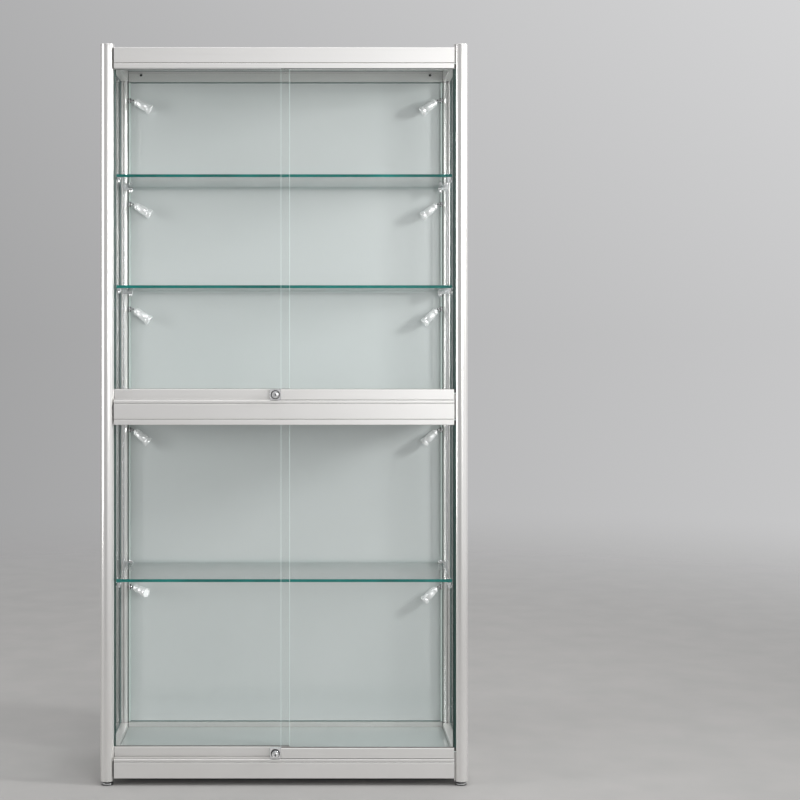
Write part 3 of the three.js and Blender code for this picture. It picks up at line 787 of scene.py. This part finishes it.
BANDS = (("inner", 0.6, 2.2), ("outer", 5.4, 8.1))  # the rubber rings round the cup: start and end
WASHER_PROFILE = [(2.0, 9.8), (4.5, 9.8), (4.5, 10.4), (4.0, 10.8), (2.0, 10.8)]


def cheek_outline(radius, reach, steps=10):
    """One side plate of the fork: round at the pivot and straight where it joins the head."""
    angles = [math.pi * (1 + step / steps) for step in range(steps + 1)]
    arc = [(radius * math.cos(angle), radius * math.sin(angle)) for angle in angles]
    return arc + [(radius + CHEEK_FLARE, reach), (-radius - CHEEK_FLARE, reach)]


for side, sign in SIDES:
    harness_low, harness_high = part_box(f"{side}_lamp_harness")
    post_face = harness_low.x if side == "left" else harness_high.x
    for number in range(1, LAMP_COUNT + 1):
        lamp = f"{side}_lamp_{number}"
        joint = joints[f"{lamp}_tilt"]
        pivot = Vector(joint["pos_m"])
        hinge = Vector(joint["axis"]).normalized()
        tilt = math.radians(FULL_DOWN - joint["range_deg"][1])
        level = hinge.cross(Z)
        along = level * math.cos(tilt) - Z * math.sin(tilt)
        head_axes = axes_at(pivot, along, hinge)

        shell = add_piece(
            f"{lamp}_shell", lathe(HEAD_SHELL, 56), LAMP_SILVER, lamp, head_axes,
            bevel=0,
        )
        for polygon in shell.data.polygons:
            polygon.use_smooth = True
        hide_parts(f"{lamp}_head")
        add_piece(
            f"{lamp}_lens", lathe(LENS_PROFILE, 56), LENS, lamp, head_axes, bevel=0,
        )
        add_piece(
            f"{lamp}_pin", lathe(PIN_PROFILE, 24), BLACK, lamp, axes_at(pivot, hinge),
            bevel=0,
        )
        across = along.cross(hinge)
        turn = Matrix((across, along, hinge)).transposed().to_4x4()
        for end, near in (("near", -CHEEK_FAR), ("far", CHEEK_NEAR)):
            plate = prism(cheek_outline(CHEEK_RADIUS, CHEEK_REACH), CHEEK_FAR - CHEEK_NEAR)
            add_piece(
                f"{lamp}_cheek_{end}", plate, LAMP_SILVER, lamp,
                Matrix.Translation(pivot + hinge * near * MM) @ turn, bevel=0.2 * MM,
            )

        at_post = axes_at(Vector((post_face, pivot.y, pivot.z)), -sign * X)
        cup = lathe(CUP_PROFILE, 48, ring=True)
        add_piece(
            f"{lamp}_cup", cup, CHROME, "cabinet", at_post, bevel=0.1 * MM,
        )
        for end, start, stop in BANDS:
            band = lathe([
                (BAND_INNER, start), (BAND_OUTER, start + BAND_CHAMFER),
                (BAND_OUTER, stop - BAND_CHAMFER), (BAND_INNER, stop),
            ], 48, ring=True)
            add_piece(
                f"{lamp}_band_{end}", band, BLACK, "cabinet", at_post, bevel=0,
            )
        washer = lathe(WASHER_PROFILE, 40, ring=True)
        add_piece(
            f"{lamp}_washer", washer, BLACK, "cabinet", at_post,
            bevel=0.1 * MM,
        )


# ---------------------------------------------------------------- wall-fixing holes

WALL_HOLE_X = 425 * MM
WALL_HOLE_DROP = 16 * MM
RAIL_LEDGE = 6 * MM
EYELET_PROFILE = [(4.1, 0.05), (5.6, 0.05), (5.9, 0.3), (5.6, 0.7), (4.1, 0.7)]
HOLE_SHADE_PROFILE = [(0, -3.6), (3.9, -3.6), (3.9, -2.2), (3.4, -1.8), (0, -1.8)]

rail_low, rail_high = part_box("top_rear_rail")
for side, sign in SIDES:
    hole = (sign * WALL_HOLE_X, rail_low.y + RAIL_LEDGE, rail_high.z - WALL_HOLE_DROP)
    add_piece(
        f"wall_hole_eyelet_{side}", lathe(EYELET_PROFILE, 40, ring=True), ALUMINIUM_X, "cabinet",
        axes_at(hole, -Y), bevel=0.1 * MM,
    )
    # a black disc inside each hole: painted shade of the hollow rail behind it
    add_piece(
        f"wall_hole_shade_{side}", lathe(HOLE_SHADE_PROFILE, 32), BLACK, "cabinet",
        axes_at(hole, -Y), bevel=0,
    )


# ---------------------------------------------------------------- floor, light and camera

FLOOR_HALF = 12
FLOOR_DROP = 0.2 * MM
FADE_START, FADE_END = 1.6, 7.0


def add_floor():
    """A plain pale floor that fades out with distance, so that it meets the world without a line."""
    shader = Shader("floor")
    mottle = shader.noise(6)
    shader.set(
        Base_Color=shader.tint(mottle, (0.39, 0.385, 0.375), (0.42, 0.41, 0.40)), Roughness=0.8,
    )
    place = shader.add("TexCoord").outputs["Object"]
    reach = shader.add("VectorMath", {0: place}, operation="LENGTH").outputs["Value"]
    fade = shader.remap(reach, FADE_START, FADE_END, interpolation_type="SMOOTHSTEP")
    nothing = shader.add("BsdfTransparent").outputs[0]
    solid = shader.surface.outputs[0]
    faded = shader.add("MixShader", {0: fade, 1: solid, 2: nothing}).outputs[0]
    shader.feed(shader.output, "Surface", faded)
    bm = bmesh.new()
    bmesh.ops.create_grid(bm, x_segments=1, y_segments=1, size=FLOOR_HALF)
    mesh = bpy.data.meshes.new("floor")
    bm.to_mesh(mesh)
    bm.free()
    mesh.materials.append(shader.material)
    floor = bpy.data.objects.new("floor", mesh)
    bpy.context.scene.collection.objects.link(floor)
    floor.location.z = -FLOOR_DROP


DARK_SIDE = -0.22  # where the unlit part of the room is, as a direction's share of +X
DARK_LEVEL = 0.5


def add_world():
    """A plain studio: grey at the horizon, lighter overhead and to the right, with the unlit part
    of the room behind the camera and a little to its left."""
    world = bpy.data.worlds.new("studio")
    world.use_nodes = True
    tree = world.node_tree
    place = tree.nodes.new("ShaderNodeTexCoord")
    split = tree.nodes.new("ShaderNodeSeparateXYZ")
    tree.links.new(place.outputs["Generated"], split.inputs[0])
    east, north, up = split.outputs

    def ramp(value, start, end, low, high):
        node = tree.nodes.new("ShaderNodeMapRange")
        tree.links.new(value, node.inputs["Value"])
        settings = {"From Min": start, "From Max": end, "To Min": low, "To Max": high}
        for key, setting in settings.items():
            node.inputs[key].default_value = setting
        return node.outputs["Result"]

    def combine(operation, one, other=None):
        node = tree.nodes.new("ShaderNodeMath")
        node.operation = operation
        for socket, value in zip(node.inputs, (one, other)):
            if isinstance(value, bpy.types.NodeSocket):
                tree.links.new(value, socket)
            elif value is not None:
                socket.default_value = value
        return node.outputs[0]

    height = ramp(up, 0.0, 0.9, 0.43, 0.74)
    across = ramp(east, -0.3, 0.3, 0.76, 1.32)
    from_dark = combine("ABSOLUTE", combine("SUBTRACT", east, DARK_SIDE))
    unlit = ramp(from_dark, 0.06, 0.42, 1.0 - DARK_LEVEL, 0.0)
    in_front = ramp(north, -0.85, -0.6, 1.0, 0.0)
    left_over = combine("SUBTRACT", 1.0, combine("MULTIPLY", unlit, in_front))
    facing = ramp(north, -0.3, 0.3, 1.4, 1.0)
    studio = combine("MULTIPLY", combine("MULTIPLY", height, across), facing)
    strength = combine("MULTIPLY", studio, left_over)
    tree.links.new(strength, tree.nodes["Background"].inputs["Strength"])
    tree.nodes["Background"].inputs["Color"].default_value = (1, 1, 1.01, 1)
    bpy.context.scene.world = world


# name: place, the point it shines at, width and height, power in watts, spread in degrees
SOFTBOXES = {
    "key": ((1.9, -4.2, 1.7), (0, 0, 1.65), (1.1, 0.9), 5.4, 60),
    "right_side": ((3.4, -1.0, 2.3), (0, 0.1, 1.25), (0.3, 0.8), 18, 90),
    "left_side": ((-3.4, -1.1, 1.5), (0, 0, 1.3), (0.5, 2.2), 10, 90),
    "overhead": ((0, -0.8, 4.2), (0, 0, 1.4), (2.0, 1.2), 16, 180),
}


def add_softbox(name, location, target, size, power, spread):
    light = bpy.data.lights.new(name, "AREA")
    light.shape = "RECTANGLE"
    light.size, light.size_y = size
    light.energy = power
    light.spread = math.radians(spread)
    softbox = bpy.data.objects.new(name, light)
    bpy.context.scene.collection.objects.link(softbox)
    softbox.location = location
    shines_along = Vector(target) - Vector(location)
    softbox.rotation_euler = shines_along.to_track_quat("-Z", "Y").to_euler()


CAMERA_X = 0.053
CAMERA_HEIGHT = 1.220
CAMERA_DISTANCE = 4.3
CAMERA_LENS = 71.1
CAMERA_SENSOR = 36
CAMERA_SHIFT = (0.1206, -0.08)


def add_camera():
    """A level camera a little right of the middle. Its lens shift holds only at its own place, so
    that a view from anywhere else stays centred."""
    data = bpy.data.cameras.new("camera")
    data.lens = CAMERA_LENS
    data.sensor_width = CAMERA_SENSOR
    camera = bpy.data.objects.new("camera", data)
    bpy.context.scene.collection.objects.link(camera)
    post_low, post_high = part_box("front_left_post")
    post_y = (post_low.y + post_high.y) / 2
    camera.location = (CAMERA_X, post_y - CAMERA_DISTANCE, CAMERA_HEIGHT)
    camera.rotation_euler = (math.pi / 2, 0, 0)
    bpy.context.scene.camera = camera
    for axis, shift in zip("xy", CAMERA_SHIFT):
        driver = data.driver_add(f"shift_{axis}").driver
        for name, path in (("x", "LOC_X"), ("z", "LOC_Z")):
            variable = driver.variables.new()
            variable.name = name
            variable.type = "TRANSFORMS"
            variable.targets[0].id = camera
            variable.targets[0].transform_type = path
        at_home = f"abs(x - {CAMERA_X}) < 0.001 and abs(z - {CAMERA_HEIGHT}) < 0.001"
        driver.expression = f"{shift} if {at_home} else 0"


add_floor()
add_world()
for name, settings in SOFTBOXES.items():
    add_softbox(name, *settings)
add_camera()

scene = bpy.context.scene
scene.cycles.transparent_max_bounces = 32
scene.view_settings.view_transform = "Standard"
